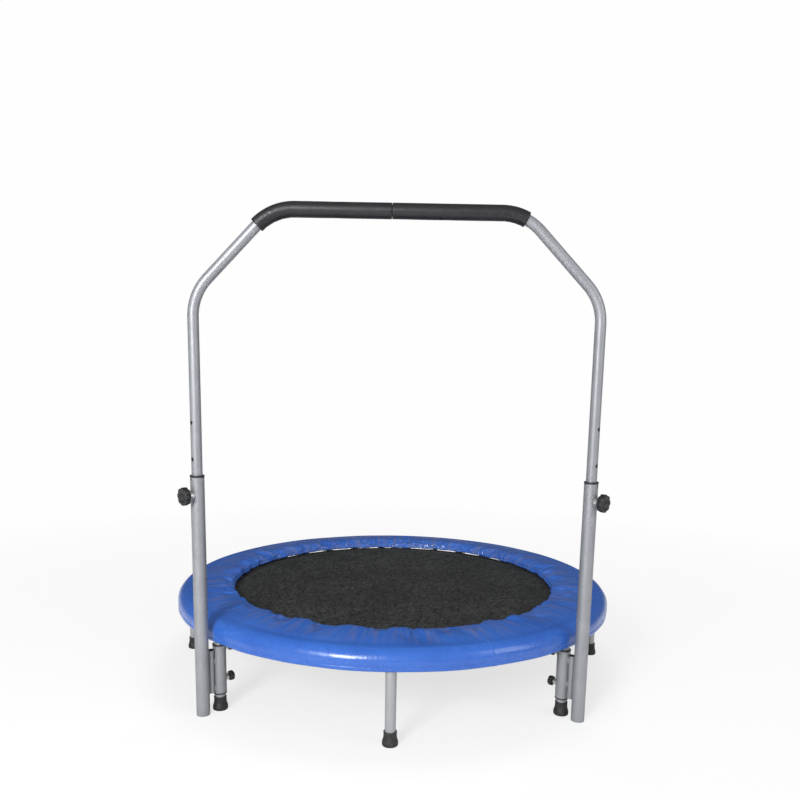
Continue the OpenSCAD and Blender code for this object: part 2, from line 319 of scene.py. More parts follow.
LOOKS = {
    "frame_paint": painted_metal("frame_paint", (0.262, 0.269, 0.287), (0.312, 0.320, 0.339), 0.50, 0.46),
    "leg_plating": painted_metal("leg_plating", (0.345, 0.353, 0.368), (0.410, 0.419, 0.434), 0.60, 0.38),
    "zinc_steel": zinc("zinc_steel"),
    "foot_rubber": rubber("foot_rubber"),
    "black_plastic": plastic("black_plastic"),
    "grip_foam": foam_skin("grip_foam"),
    "pad_foam": closed_cell("pad_foam"),
    "blue_vinyl": vinyl("blue_vinyl"),
    "mat_weave": woven("mat_weave"),
    "hem_webbing": webbing("hem_webbing"),
    "elastic": braid("elastic"),
    "blue_thread": thread("blue_thread", (0.05, 0.15, 0.55), (0.10, 0.24, 0.70)),
    "black_thread": thread("black_thread", (0.012, 0.012, 0.013), (0.03, 0.03, 0.032)),
}
CAD_LOOKS = {
    "frame_paint": (
        "frame_ring", "leg_bosses", "clamp_sleeve_", "link_tubes", "post_left", "post_right", "bar_half_"),
    "zinc_steel": ("leg_inserts", "clamp_nuts", "height_nuts", "bar_joiner", "height_stud_", "clamp_stud_"),
    "leg_plating": tuple(f"leg_{name}" for name in LEGS),
    "black_plastic": ("post_plugs", "post_bush_"),
}
for node_name, node_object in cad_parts.items():
    for look, starts in CAD_LOOKS.items():
        if node_name.startswith(starts):
            node_object.data.materials.clear()
            node_object.data.materials.append(LOOKS[look])


# ---- mesh tools ----

def grid_faces(rows, columns, round_rows=False, round_columns=True, flip=False):
    r = np.arange(rows if round_rows else rows - 1)[:, None]
    c = np.arange(columns if round_columns else columns - 1)[None, :]
    r2, c2 = (r + 1) % rows, (c + 1) % columns
    corners = [r * columns + c, r * columns + c2, r2 * columns + c2, r2 * columns + c]
    faces = np.stack(corners[::-1] if flip else corners, -1).reshape(-1, 4)
    return faces.tolist()


def piece(name, points, faces, look, body=None, stands_for=(), slot=None, outwards=True):
    """A smooth mesh in the scene, with its look's material; the slot argument is not used."""
    mesh = bpy.data.meshes.new(name)
    mesh.from_pydata(np.asarray(points, float).reshape(-1, 3).tolist(), [], faces)
    if outwards:
        work = bmesh.new()
        work.from_mesh(mesh)
        bmesh.ops.recalc_face_normals(work, faces=work.faces)
        work.to_mesh(mesh)
        work.free()
    mesh.materials.append(LOOKS[look])
    mesh.shade_smooth()
    made = bpy.data.objects.new(name, mesh)
    bpy.context.scene.collection.objects.link(made)
    if stands_for:
        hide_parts(*stands_for)
    if body:
        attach(made, body)
    return made


def joined(parts):
    """One set of points and faces from several."""
    points, faces, count = [], [], 0
    for p, f in parts:
        p = np.asarray(p, float).reshape(-1, 3)
        points.append(p)
        faces += [[i + count for i in face] for face in f]
        count += len(p)
    return np.concatenate(points), faces


def end_faces(rows, sides):
    """The two end faces of a grid of rows by sides."""
    last = (rows - 1) * sides
    return [list(range(sides))[::-1], [last + i for i in range(sides)]]


def lathe(profile, sides=48, closed=False):
    """Points and faces of a profile of (radius, height) turned about Z."""
    profile = np.array(profile, float)
    rows = round_xy(around(sides), profile[:, :1], profile[:, 1:])
    return rows.reshape(-1, 3), grid_faces(len(profile), sides, round_rows=closed)


def placed(part, matrix):
    points, faces = part
    m = np.array(matrix, float)
    return points @ m[:3, :3].T + m[:3, 3], faces


def about(origin, axis):
    """A matrix that stands a part turned about Z on origin, with Z along axis."""
    turn = Vector(axis).normalized().to_track_quat("Z", "Y").to_matrix().to_4x4()
    return Matrix.Translation(origin) @ turn


def sweep(path, radius, sides=8, closed=False, capped=True):
    """A round rod along path, with a turned frame that doesn't twist."""
    path = np.asarray(path, float)
    count = len(path)
    radius = np.broadcast_to(np.asarray(radius, float), (count,))
    if closed:
        along = np.roll(path, -1, 0) - np.roll(path, 1, 0)
    else:
        along = np.gradient(path, axis=0)
    along /= np.linalg.norm(along, axis=1)[:, None]
    sideways = np.zeros((count, 3))
    current = np.array([0.0, 0.0, 1.0]) if abs(along[0][2]) < 0.8 else np.array([1.0, 0.0, 0.0])
    for i in range(count):
        current = current - along[i] * (current @ along[i])
        current = current / np.linalg.norm(current)
        sideways[i] = current
    other = np.cross(along, sideways)
    turn = around(sides)
    ring = (sideways[:, None] * np.cos(turn)[None, :, None]
            + other[:, None] * np.sin(turn)[None, :, None]) * radius[:, None, None]
    points = (path[:, None] + ring).reshape(-1, 3)
    faces = grid_faces(count, sides, round_rows=closed)
    if capped and not closed:
        faces += end_faces(count, sides)
    return points, faces


def stitched(starts, ends, radius, sides=5):
    """A short thread between each pair of points."""
    starts, ends = np.asarray(starts, float), np.asarray(ends, float)
    along = ends - starts
    length = np.linalg.norm(along, axis=1)[:, None]
    along = along / length
    steep = np.abs(along[:, 2:]) > 0.8
    guide = np.where(steep, np.array([[1.0, 0.0, 0.0]]), np.array([[0.0, 0.0, 1.0]]))
    one = np.cross(along, guide)
    one /= np.linalg.norm(one, axis=1)[:, None]
    two = np.cross(along, one)
    turn = around(sides)
    rings = []
    for share, size in ((0.0, 0.4), (0.18, 1.0), (0.82, 1.0), (1.0, 0.4)):
        centre = starts + along * length * share
        ring = one[:, None] * np.cos(turn)[:, None] + two[:, None] * np.sin(turn)[:, None]
        rings.append(centre[:, None] + ring * radius * size)
    points = np.stack(rings, 1).reshape(-1, 3)
    one_stitch = np.array(grid_faces(4, sides))
    offsets = np.arange(len(starts))[:, None, None] * 4 * sides
    faces = (one_stitch[None] + offsets).reshape(-1, 4).tolist()
    for k in range(len(starts)):
        faces += [[k * 4 * sides + i for i in cap] for cap in end_faces(4, sides)]
    return points, faces


def round_xy(azimuth, radius, height):
    """Points at these azimuths, radii and heights."""
    azimuth, radius, height = np.broadcast_arrays(azimuth, radius, height)
    return np.stack([radius * np.cos(azimuth), radius * np.sin(azimuth), height], -1)


def waves(azimuth, seed, low, high, count=9):
    """Smooth noise round a circle, about -1 to 1, with low to high waves in a turn."""
    draw = np.random.default_rng(seed)
    total = np.zeros_like(azimuth)
    for _ in range(count):
        n = draw.integers(low, high + 1)
        total = total + np.sin(azimuth * n + draw.uniform(0, TAU))
    return total / math.sqrt(count)


def smooth(value, start, end):
    """0 at start and 1 at end, with level ends."""
    t = np.clip((value - start) / (end - start), 0, 1)
    return t * t * (3 - 2 * t)


def run_of(line):
    """The distance along a line of points, at each of them."""
    return np.concatenate([[0], np.cumsum(np.linalg.norm(np.diff(line, axis=0), axis=1))])


def along_line(at, lengths, line, period=None):
    """Points of a line at these distances along it."""
    return np.stack([np.interp(at, lengths, line[:, k], period=period) for k in range(3)], -1)


# ---- safety pad ----

SEAM = math.radians(-68)
# The seam runs askew across the top sheet by this angle
SEAM_DRIFT = math.radians(1.3)
BASE_Z = foam_top + 0.0010
# Radius of the rounded edge between skirt and top, and where the top begins inside it
SHOULDER = 0.026
BAND_R = pad_r - SHOULDER
STRIP_COLUMNS = 900
COVER_COLUMNS = 1280
CASING_R = 0.0031
CORD_R = 0.0013
# Length of the cut sheet's inner edge as a share of the drawn-in one
CUT_EXCESS = 1.13
DRAW_IN_FRAMES = 14
SETTLE_FRAMES = 22
# Greatest height of a fold, and how far its points may slide along the sheet
FOLD_CAP = 0.0095
SLIDE_CAP = 0.005
CREASE_PASSES = 5
CREASE_GAIN = 1.5
# Rows of the cover's grid that carry a line of stitches
HEM_STITCH_ROW = 12
NECK_ROW = -11
STITCH_R = 0.00035


class Folds:
    """Gathers that start at the inner edge and die out across the top sheet."""

    def __init__(self, seed):
        draw = np.random.default_rng(seed)
        centres, at = [], 0.0
        while at < TAU:
            centres.append(at)
            at += draw.uniform(0.006, 0.012) / roll_r
        self.pleats = np.array(centres) * TAU / at
        self.sizes = draw.uniform(0.0006, 0.0020, len(self.pleats))
        self.widths = draw.uniform(0.0014, 0.0028, len(self.pleats))
        self.leans = draw.uniform(-0.9, 0.9, len(self.pleats))
        self.rows = []
        for k, centre in enumerate(self.pleats):
            self.rows.append((
                centre, draw.uniform(0.0018, 0.0032), draw.uniform(0.010, 0.034), self.sizes[k],
                draw.normal(0, 0.003), 0.5))
        at = 0.0
        while at < TAU:
            deep = draw.uniform() < 0.55
            self.rows.append((
                at, draw.uniform(0.0045, 0.0090), draw.uniform(0.060, 0.100 if deep else 0.075),
                draw.uniform(0.0042, 0.0068) if deep else draw.uniform(0.0018, 0.0036),
                draw.normal(0, 0.014), draw.uniform(0.3, 1.0)))
            at += draw.uniform(0.020, 0.040) / roll_r

    def rise(self, azimuth, inset):
        """Height of the folds, inset metres outwards from the gathered edge."""
        height = np.zeros_like(azimuth)
        fade_out = 1 - smooth(inset, 0.070, 0.094)
        for centre, width, reach, size, drift, fan in self.rows:
            out = np.clip(inset / reach, 0, 1)
            x = (apart(azimuth, centre) * (roll_r + inset) - drift * out * out) / (width * (1 + fan * out))
            height += size * (1 - out) ** 1.1 * np.exp(-np.abs(x) ** 1.6)
        return height * fade_out

    def crinkle(self, azimuth):
        """(height, sideways lean) of the small pleats over the cord."""
        height, lean = np.zeros_like(azimuth), np.zeros_like(azimuth)
        for centre, size, width, tilt in zip(self.pleats, self.sizes, self.widths, self.leans, strict=True):
            bump = size * np.exp(-np.abs(apart(azimuth, centre) * roll_r / width) ** 1.7)
            height += bump
            lean += bump * tilt
        return height + 0.0002 * waves(azimuth, 33, 300, 620, 14), lean


folds = Folds(11)


def edge_wander(azimuth):
    """How far the gathered edge strays from its circle, and from its height."""
    out = 0.0011 * waves(azimuth, 3, 18, 60) + 0.0009 * waves(azimuth, 4, 4, 14)
    up = 0.0007 * waves(azimuth, 5, 12, 50) + 0.0006 * waves(azimuth, 6, 3, 9)
    return out, up


def sheet_level(radius):
    """Height of the smooth sheet over the foam."""
    fall = smooth(np.asarray(radius, float), BAND_R, pad_r - 0.055)
    return pad_top + (BASE_Z - pad_top) * fall


def gathered_profile():
    """(radius, height) from the smooth band over the brow to the neck above the cord."""
    brow_r = 0.0055
    brow_at, brow_z = roll_r + 0.0035, BASE_Z - brow_r
    rows = [(r, float(sheet_level(r))) for r in BAND_R + (brow_at - BAND_R) * np.linspace(0, 1, 22) ** 0.86]
    rows += [(brow_at + brow_r * math.cos(a), brow_z + brow_r * math.sin(a))
             for a in np.radians([108, 126, 144, 161])]
    rows.append((roll_r - 0.0014, roll_z + 0.0034))
    return np.array(rows)


def strip_start():
    """Each row's distance from the edge, the smooth sheet, its normals, and it with its folds begun."""
    profile = gathered_profile()
    azimuth = around(STRIP_COLUMNS)
    steps = np.linalg.norm(np.diff(profile, axis=0), axis=1)
    inset = np.concatenate([np.cumsum(steps[::-1])[::-1], [0]])
    tangent = np.gradient(profile, axis=0)
    tangent /= np.linalg.norm(tangent, axis=1)[:, None]
    wander, up = edge_wander(azimuth)
    crinkle, _ = folds.crinkle(azimuth)
    base, normals, start = [], [], []
    for (radius, height), (tr, tz), away in zip(profile, tangent, inset, strict=True):
        near, at_edge = math.exp(-away / 0.020), math.exp(-away / 0.004)
        flat = round_xy(azimuth, radius + wander * near, height + up * near)
        normal = round_xy(azimuth, tz, -tr)
        gathers = np.maximum(folds.rise(azimuth, np.full_like(azimuth, away)) * (1 - at_edge), 0)
        base.append(flat)
        normals.append(normal)
        start.append(flat + normal * (gathers + crinkle * at_edge)[:, None])
    return inset, np.array(base), np.array(normals), np.array(start)


def settle(start, inset):
    """Draws the flat-cut sheet in to the cord in a cloth simulation, so that it buckles into folds."""
    rows, columns = start.shape[:2]
    azimuth = around(columns)
    cut = []
    for away in inset:
        radius = BAND_R + (roll_r * CUT_EXCESS - BAND_R) * (1 - away / inset[0])
        seed_fold = folds.rise(azimuth, np.full_like(azimuth, away)) * 0.5
        cut.append(round_xy(azimuth, radius + seed_fold, BASE_Z + inset[0] - away))
    mesh = bpy.data.meshes.new("gathered_strip")
    mesh.from_pydata(np.array(cut).reshape(-1, 3).tolist(), [], grid_faces(rows, columns))
    strip = bpy.data.objects.new("gathered_strip", mesh)
    bpy.context.scene.collection.objects.link(strip)
    strip.shape_key_add(name="Basis")
    gathered = strip.shape_key_add(name="gathered")
    gathered.data.foreach_set("co", start.reshape(-1))
    for value, frame_number in ((0, 1), (1, DRAW_IN_FRAMES)):
        gathered.value = value
        gathered.keyframe_insert("value", frame=frame_number)
    held = strip.vertex_groups.new(name="held")
    held.add(list(range(2 * columns)) + list(range((rows - 1) * columns, rows * columns)), 1.0, "REPLACE")
    cloth = strip.modifiers.new("settle", "CLOTH")
    settings = cloth.settings
    settings.vertex_group_mass = "held"
    for key, value in {
            "quality": 6, "mass": 0.02, "tension_stiffness": 40, "compression_stiffness": 40,
            "shear_stiffness": 8, "bending_stiffness": 1.0, "air_damping": 2,
            "use_pressure": True, "uniform_pressure_force": 4}.items():
        setattr(settings, key, value)
    settings.effector_weights.gravity = 0
    cloth.collision_settings.use_collision = False
    cloth.point_cache.frame_end = SETTLE_FRAMES
    for frame_number in range(1, SETTLE_FRAMES + 1):
        bpy.context.scene.frame_set(frame_number)
    settled = strip.evaluated_get(bpy.context.evaluated_depsgraph_get()).to_mesh()
    points = np.zeros(rows * columns * 3)
    settled.vertices.foreach_get("co", points)
    bpy.context.scene.frame_set(1)
    bpy.data.actions.remove(mesh.shape_keys.animation_data.action)
    bpy.data.meshes.remove(mesh)
    return points.reshape(rows, columns, 3)


def build_strip():
    """The gathered part of the cover, capped so that it stays on the foam and near its place."""
    inset, base, normals, start = strip_start()
    moved = settle(start, inset)
    shift = moved - base
    creased = shift.copy()
    for _ in range(CREASE_PASSES):
        creased[1:-1] = 0.25 * creased[:-2] + 0.5 * creased[1:-1] + 0.25 * creased[2:]
    shift += (CREASE_GAIN * creased - shift) * smooth(inset, 0.006, 0.022)[:, None, None]
    rise = (shift * normals).sum(-1)
    slide = shift - normals * rise[..., None]
    length = np.maximum(np.linalg.norm(slide, axis=-1, keepdims=True), 1e-9)
    slide *= np.minimum(1, SLIDE_CAP / length)
    cap = FOLD_CAP * (0.35 + 0.65 * np.exp(-((inset - 0.02) / 0.055) ** 2))[:, None]
    band_fade = 1 - smooth(inset, inset[0] - 0.042, inset[0])
    ends = (smooth(inset, 0.0, 0.012) * band_fade)[:, None]
    lifted = 0.8 * rise + 0.0014 * ends
    raised = 0.5 * (lifted + np.sqrt(lifted ** 2 + 0.0012 ** 2)) - 0.0004
    on_foam = raised * (0.25 + 0.75 * band_fade)[:, None]
    rise = rise + (cap * np.tanh(on_foam / cap) - rise) * smooth(inset, 0.0, 0.004)[:, None]
    return base + slide + normals * rise[..., None]


def seam_columns(count):
    """Azimuths round the pad, closer together at the seam."""
    even = around(count)
    steps = [0.5, 1.0, 1.7, 2.6, 4, 6, 9]
    near = (SEAM % TAU) + np.array([-step for step in steps[::-1]] + [0] + steps) * 0.001
    keep = np.abs(apart(even, SEAM)) > 0.0105
    return np.sort(np.concatenate([even[keep], near]))


def resampled(grid, azimuth):
    """Rows of an even closed grid at other azimuths, on smooth curves."""
    count = grid.shape[1]
    at = azimuth / TAU * count
    first = np.floor(at).astype(int)
    t = (at - first)[None, :, None]
    a, b, c, d = (grid[:, (first + k) % count] for k in (-1, 0, 1, 2))
    curve = 2 * a - 5 * b + 4 * c - d + t * (3 * (b - c) + d - a)
    return b + 0.5 * t * (c - a + t * curve)


def skirt_rows():
    """(radius, height) from the skirt's inner face round its hem and over the shoulder."""
    top = pad_top - SHOULDER
    rows = [(pad_r - 0.0024, hem_z + (top - hem_z) * share) for share in (0.90, 0.75, 0.60, 0.45)]
    rows += [(pad_r - inset, hem_z + up) for inset, up in (
        (0.0026, 0.0045), (0.0024, 0.0012), (0.0016, 0.0002), (0.0007, 0.0002), (0.0001, 0.0012),
        (0, 0.0030), (0, 0.0056), (0.0002, 0.0070), (0.0007, 0.0077), (0.0003, 0.0085), (0.0001, 0.0110))]
    rows += [(BAND_R + SHOULDER * math.cos(a), top + SHOULDER * math.sin(a))
             for a in np.radians(np.linspace(0, 84, 15))]
    return rows


def build_pad_cover():
    """Azimuths of the columns, and the cover's grid from the skirt's inner face to the casing's."""
    azimuth = seam_columns(COVER_COLUMNS)
    lift = 0.0006 * waves(azimuth, 21, 5, 22)
    hang = 0.0008 * waves(azimuth, 22, 9, 34)
    near_seam = apart(azimuth, SEAM)
    lines = []
    for radius, height in skirt_rows():
        down = np.clip((pad_top - height) / (pad_top - hem_z), 0, 1)
        side = math.sin(min(1.0, down * 5) * math.pi / 2)
        lines.append(round_xy(azimuth, radius + hang * down, height + 0.4 * lift * (1 - side)))
    lines += list(resampled(build_strip(), azimuth))
    wander, up = edge_wander(azimuth)
    crinkle, lean = folds.crinkle(azimuth)
    for angle in np.radians([*range(140, 295, 22), 318, 344]):
        swell = CASING_R + crinkle * (0.75 + 0.25 * math.cos(angle - math.radians(150)))
        out, rise = swell * math.cos(angle), swell * math.sin(angle)
        lines.append(round_xy(azimuth + lean / roll_r, roll_r + wander + out, roll_z + up + rise))
    grid = np.array(lines)
    radii = np.hypot(grid[..., 0], grid[..., 1])
    inwards = np.clip((BAND_R - radii) / (BAND_R - roll_r), 0, 1)
    drift = SEAM_DRIFT * inwards ** 1.7 * np.exp(-((near_seam / 0.10) ** 2))
    step = near_seam * radii
    lap = 0.00075 * np.exp(-((step / 0.0011) ** 2))
    lap += 0.00035 * smooth(step, 0.0, 0.001) * (1 - smooth(step, 0.004, 0.008))
    across = np.gradient(grid, axis=0)
    onwards = np.stack([-np.sin(azimuth), np.cos(azimuth), np.zeros_like(azimuth)], -1)[None]
    normal = np.cross(onwards, across)
    normal /= np.maximum(np.linalg.norm(normal, axis=-1, keepdims=True), 1e-9)
    grid = grid + normal * lap[..., None]
    turned = np.stack([
        grid[..., 0] * np.cos(drift) - grid[..., 1] * np.sin(drift),
        grid[..., 0] * np.sin(drift) + grid[..., 1] * np.cos(drift), grid[..., 2]], -1)
    return azimuth, turned


cover_azimuth, cover = build_pad_cover()
cover_piece = piece(
    "pad_cover_vinyl", cover, grid_faces(*cover.shape[:2]), "blue_vinyl", "frame", ("pad_cover",),
    outwards=False)


def build_elastic():
    """The cord in the casing, with the crossing ridges of its braid."""
    columns, sides, ridges = 900, 10, 240
    azimuth, turn = around(columns), around(sides)
    wander, up = edge_wander(azimuth)
    path = round_xy(azimuth, roll_r + wander, roll_z + up)
    points, faces = sweep(path, CORD_R, sides, closed=True)
    twist = azimuth[:, None] * ridges
    ridge = 0.00018 * np.sin(3 * turn[None] + twist) * np.sin(3 * turn[None] - twist)
    out = points.reshape(columns, sides, 3) - path[:, None]
    return path[:, None] + out * (1 + ridge[..., None] / CORD_R), faces


piece("pad_elastic_cord", *build_elastic(), "elastic", "frame", ("pad_elastic",))


def build_foam():
    """The foam ring: rounded edges, three glued joints and a slightly uneven underside."""
    azimuth = around(540)
    inner, outer = roll_r + 0.0075, BAND_R + 0.007
    low, high = foam_low.z, foam_top
    edge, soft = 0.0022, 0.0022 * 0.3
    width = outer - inner - 2 * edge
    section = [(inner, low + edge), (inner + soft, low + soft), (inner + edge, low)]
    section += [(inner + edge + width * share, low) for share in np.linspace(0.04, 0.96, 16)]
    section += [(outer - edge, low), (outer - soft, low + soft), (outer, low + edge)]
    section += [(outer, high - edge), (outer - soft, high - soft), (outer - edge, high)]
    section += [(outer - edge - width * share, high) for share in np.linspace(0.1, 0.9, 8)]
    section += [(inner + edge, high), (inner + soft, high - soft), (inner, high - edge)]
    joint = sum(np.exp(-((apart(azimuth, a) * 0.45 / 0.004) ** 2)) for a in np.radians([40, 160, 280]))
    rows = []
    for radius, height in section:
        down = 1 - smooth(height, low, low + 0.003)
        sag = 0.0005 * waves(azimuth, 41, 6, 30) + 0.0003 * waves(azimuth + radius * 20, 42, 30, 90)
        wobble = 0.0006 * waves(azimuth, 43, 8, 40) * (radius < inner + 0.003)
        lift = down * (np.abs(sag) * 0.6 + 0.0026 * joint)
        rows.append(round_xy(azimuth, radius + wobble, height + lift))
    return np.array(rows)


foam = build_foam()
foam_piece = piece(
    "pad_foam_ring", foam, grid_faces(*foam.shape[:2], round_rows=True), "pad_foam", "frame", ("pad_foam",))


def stitch_round(grid, columns, row, pitch, length, lift, seed):
    """Starts and ends of the stitches along a row of a turned grid, lifted outwards and up."""
    radius = float(np.hypot(grid[row][:, 0], grid[row][:, 1]).mean())
    count = int(TAU * radius / pitch)
    draw = np.random.default_rng(seed)
    at = (np.arange(count) + draw.uniform(-0.06, 0.06, count)) * TAU / count
    ends = []
    for sign in (-1, 1):
        points = along_line((at + sign * length / 2 / radius) % TAU, columns, grid[row], period=TAU)
        out = points[:, :2] / np.linalg.norm(points[:, :2], axis=1)[:, None]
        points[:, :2] += out * lift[0]
        points[:, 2] += lift[1]
        ends.append(points)
    return ends


def seam_stitches():
    """Starts and ends of the stitches beside the seam, from the hem to the gathered edge."""
    column = int(np.argmin(np.abs(cover_azimuth - (SEAM % TAU) - 0.0040 / pad_r * 0.9)))
    line = cover[HEM_STITCH_ROW + 2:NECK_ROW - 4, column]
    lengths = run_of(line)
    at = np.arange(0.004, lengths[-1] - 0.004, 0.0048)
    across = np.array([-math.sin(SEAM), math.cos(SEAM), 0])
    ends = []
    for shift in (-0.0017, 0.0017):
        spot = along_line(at + shift, lengths, line)
        tangent = along_line(at + shift + 0.0004, lengths, line) - spot
        tangent /= np.linalg.norm(tangent, axis=1)[:, None]
        ends.append(spot + np.cross(across, tangent) * -0.0003)
    return ends


threads = [
    stitched(*stitch_round(cover, cover_azimuth, row, 0.0050, 0.0036, lift, seed), STITCH_R)
    for row, lift, seed in ((HEM_STITCH_ROW, (0.00035, 0), 51), (NECK_ROW, (0, 0.0003), 52))]
threads.append(stitched(*seam_stitches(), STITCH_R))
piece("pad_stitching", *joined(threads), "blue_thread", "frame", slot="blue_vinyl")


# ---- jumping mat ----

cloth_r = mat_box[1].x
cloth_top, cloth_low = mat_box[1].z - 0.0001, mat_box[0].z + 0.0001
hem_in = float(min(v.co.xy.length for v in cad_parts["mat_hem"].data.vertices))
hem_out = hem_box[1].x
hem_top, hem_low = hem_box[1].z, hem_box[0].z


def build_cloth():
    """Both faces of the mat, rippled a little towards the springs."""
    columns = 640
    azimuth = around(columns)
    radii = np.concatenate([
        [0.004], np.linspace(0.02, 0.30, 16), np.linspace(0.31, hem_in - 0.002, 22),
        np.linspace(hem_in, cloth_r - 0.0002, 6)])
    pull = np.cos(SPRINGS * (azimuth - spring_azimuths[0]))
    wave = waves(azimuth, 61, 2, 7)

    def sheet(level):
        rows = []
        for radius in radii:
            ripple = 0.00035 * pull * smooth(radius, 0.24, hem_in - 0.004) + 0.0004 * wave * (radius / 0.4)
            rows.append(round_xy(azimuth, radius, level + ripple * (radius < hem_in)))
        return rows

    grid = np.array(sheet(cloth_top) + sheet(cloth_low)[::-1])
    points, faces = grid.reshape(-1, 3), grid_faces(*grid.shape[:2])
    centre = [[0, 0, cloth_top], [0, 0, cloth_low]]
    count, last = len(points), len(points) - columns
    faces += [[count, (i + 1) % columns, i] for i in range(columns)]
    faces += [[count + 1, last + i, last + (i + 1) % columns] for i in range(columns)]
    return np.concatenate([points, centre]), faces


mat = piece("mat_cloth", *build_cloth(), "mat_weave", "mat", ("jumping_mat",))


# How far across the hem each row of its upper face lies, and how deep it lies under the top
HEM_ROWS = [(0.0, 0.00025)] + [(share, 0.0001) for share in (0.012, 0.04, 0.085)]
HEM_ROWS += [(0.105, 0.00035)]
HEM_ROWS += [(share, 0.0001) for share in (0.125, 0.2, 0.32, 0.44, 0.56, 0.68, 0.78, 0.845)]
HEM_ROWS += [(0.865, 0.00035), (0.885, 0.0001), (0.94, 0.0001), (0.975, 0.0003)]
# The rows that the two lines of stitches lie in
HEM_GROOVES = (4, 13)


def build_hem():
    """The folded tape round the mat's edge, drawn out a little at each spring."""
    azimuth = around(1024)
    pull = np.cos(SPRINGS * (azimuth - spring_azimuths[0])) * 0.5 + 0.5
    middle_z = (hem_top + hem_low) / 2
    section = [(share, hem_top - sink) for share, sink in HEM_ROWS]
    section += [(1.0, middle_z + bulge) for bulge in (0.0009, 0, -0.0009)]
    section += [(share, hem_low + sink) for share, sink in HEM_ROWS[::-1]]
    width = hem_out - hem_in - 0.0011 * (1 - pull)
    rows = [round_xy(azimuth, hem_in + share * width, height) for share, height in section]
    return azimuth, np.array(rows)


hem_azimuth, hem = build_hem()
hem_piece = piece(
    "mat_hem_tape", hem, grid_faces(*hem.shape[:2], round_rows=True), "hem_webbing", "mat", ("mat_hem",))
hem_threads = []
for row, rise in [(row, 1) for row in HEM_GROOVES] + [(len(hem) - 1 - row, -1) for row in HEM_GROOVES]:
    ends = stitch_round(hem, hem_azimuth, row, 0.0056, 0.0040, (0, rise * 0.00025), 70 + row)
    hem_threads.append(stitched(*ends, 0.0004, 4))

ring_z = middle("mat_rings").z
RING_WIRE = 0.0015
ring_tip = max(v.co.xy.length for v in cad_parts["mat_rings"].data.vertices) - RING_WIRE


def rounded(corners, reach, steps=5):
    """A closed line round the corners, each of them rounded."""
    line = []
    for k, corner in enumerate(corners):
        before, after = corners[k - 1], corners[(k + 1) % len(corners)]
        start = corner + (before - corner).normalized() * reach
        end = corner + (after - corner).normalized() * reach
        for t in np.linspace(0, 1, steps):
            line.append(start * (1 - t) ** 2 + corner * 2 * t * (1 - t) + end * t * t)
    return line


ring_corners = [
    Vector((ring_tip + x, y)) for x, y in ((-0.0135, -0.0098), (-0.0135, 0.0098), (0.0022, 0.0))]
ring_path = [(p.x, p.y, ring_z) for p in rounded(ring_corners, 0.0042)]
one_ring = sweep(ring_path, RING_WIRE, 10, closed=True)


def tab_points():
    """A strap folded round the ring's straight side and sewn down on both faces of the hem."""
    half, thick, thin, edge = 0.0095, 0.0011, 0.0001, 0.0004
    upper = [(hem_in + 0.0035, 0.0001), (hem_in + 0.008, 0.0001), (hem_out - 0.009, 0.0001),
             (hem_out - 0.004, 0.0002), (hem_out - 0.001, 0.0001), (hem_out + 0.0008, -0.0008)]
    line = [(r, hem_top + up) for r, up in upper] + [(hem_out + 0.0014, (hem_top + hem_low) / 2)]
    line = np.array(line + [(r, hem_low - up) for r, up in upper[::-1]])
    along = np.gradient(line, axis=0)
    along /= np.linalg.norm(along, axis=1)[:, None]
    outer = [(y, thick) for y in (-half + edge, -half * 0.4, half * 0.4, half - edge)]
    ring = [(-half, thick / 2)] + outer + [(half, thick / 2)] + [(y, thin) for y, _ in outer[::-1]]
    return np.array([
        [(r - b * lift, y, z + a * lift) for y, lift in ring]
        for (r, z), (a, b) in zip(line, along, strict=True)])


def tab_crosses():
    """Stitches across both ends of a tab, on both faces of the hem."""
    starts = []
    for face_z in (hem_top + 0.0013, hem_low - 0.0013):
        for x in (hem_in + 0.0050, hem_in + 0.0125):
            starts += [(x, y, face_z) for y in np.arange(-0.0085, 0.0080, 0.0034)]
    return stitched(starts, np.array(starts) + (0, 0.0026, 0), 0.0004, 4)


tab = tab_points()
tab_part = (tab.reshape(-1, 3), grid_faces(*tab.shape[:2]) + end_faces(*tab.shape[:2]))
cross_part = tab_crosses()
rings, tabs = [], []
for azimuth in spring_azimuths:
    turn = Matrix.Rotation(azimuth, 4, "Z")
    rings.append(placed(one_ring, turn))
    tabs.append(placed(tab_part, turn))
    hem_threads.append(placed(cross_part, turn))
ring_piece = piece("mat_wire_rings", *joined(rings), "zinc_steel", "mat", ("mat_rings",))
tab_piece = piece("mat_ring_tabs", *joined(tabs), "hem_webbing", "mat")
thread_piece = piece("mat_stitching", *joined(hem_threads), "black_thread", "mat", slot="hem_webbing")


# ---- springs ----

COIL_R = 0.0053
SPRING_WIRE = 0.0012
COIL_TURNS = 19
TURN_STEPS = 15
tube_wall = frame_r - frame_tube_r
coil_in, coil_out = hem_out + 0.016, tube_wall - 0.018


